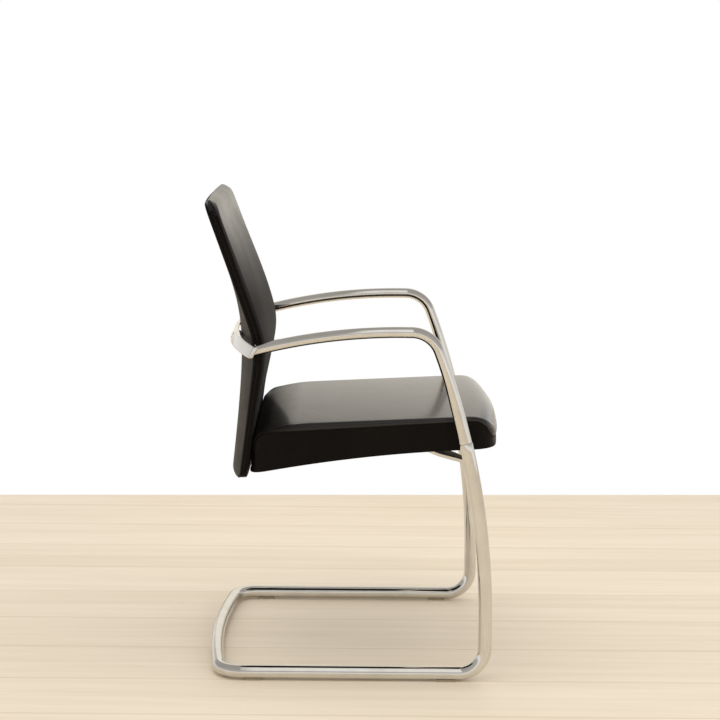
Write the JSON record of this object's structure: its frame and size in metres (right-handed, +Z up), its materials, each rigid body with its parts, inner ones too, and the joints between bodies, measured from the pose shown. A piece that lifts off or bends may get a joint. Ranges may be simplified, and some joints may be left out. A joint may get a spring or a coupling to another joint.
{
  "type": "sled base visitor chair",
  "caption": "Visitor chair: a bent chrome tube sled frame whose legs turn into arms, with a padded black leather seat on a bowed carrier and a padded back on a bowed band.",
  "frame": {"origin": "on the floor, under the middle of the chair's bounding box", "axes": "+Z up, the chair faces -Y, +X towards the sitter's left"},
  "size_m": [0.557, 0.5535, 0.882],
  "materials": {
    "chrome": "polished",
    "black_leather": "satin",
    "foam": "matte open foam",
    "plywood": "raw",
    "black_plastic": "matte",
    "clear_plastic": "clear",
    "zinc_steel": "zinc plated"
  },
  "bodies": {
    "root": {"arm_tube_left": "chrome", "arm_tube_right": "chrome", "back_band": "chrome", "back_bracket_left": "zinc_steel", "back_bracket_right": "zinc_steel", "back_cover": "black_leather", "back_foam": "foam", "back_insert_left": "zinc_steel", "back_insert_right": "zinc_steel", "back_rear_cover": "black_leather", "back_shell": "plywood", "band_screw_left": "zinc_steel", "band_screw_right": "zinc_steel", "band_spacer_left": "black_plastic", "band_spacer_right": "black_plastic", "bracket_back_screw_left": "zinc_steel", "bracket_back_screw_right": "zinc_steel", "bracket_seat_screw_left": "zinc_steel", "bracket_seat_screw_right": "zinc_steel", "glide_front_left": "clear_plastic", "glide_front_right": "clear_plastic", "glide_rear_left": "clear_plastic", "glide_rear_right": "clear_plastic", "leg_spigot_left": "zinc_steel", "leg_spigot_right": "zinc_steel", "seat_board": "plywood", "seat_bolt_inner_left": "zinc_steel", "seat_bolt_inner_right": "zinc_steel", "seat_bolt_outer_left": "zinc_steel", "seat_bolt_outer_right": "zinc_steel", "seat_carrier": "chrome", "seat_cover": "black_leather", "seat_foam": "foam", "seat_insert_inner_left": "zinc_steel", "seat_insert_inner_right": "zinc_steel", "seat_insert_outer_left": "zinc_steel", "seat_insert_outer_right": "zinc_steel", "seat_spacer_inner_left": "black_plastic", "seat_spacer_inner_right": "black_plastic", "seat_spacer_outer_left": "black_plastic", "seat_spacer_outer_right": "black_plastic", "seat_underside_cover": "black_plastic", "sled_base_tube": "chrome"}
  },
  "joints": []
}
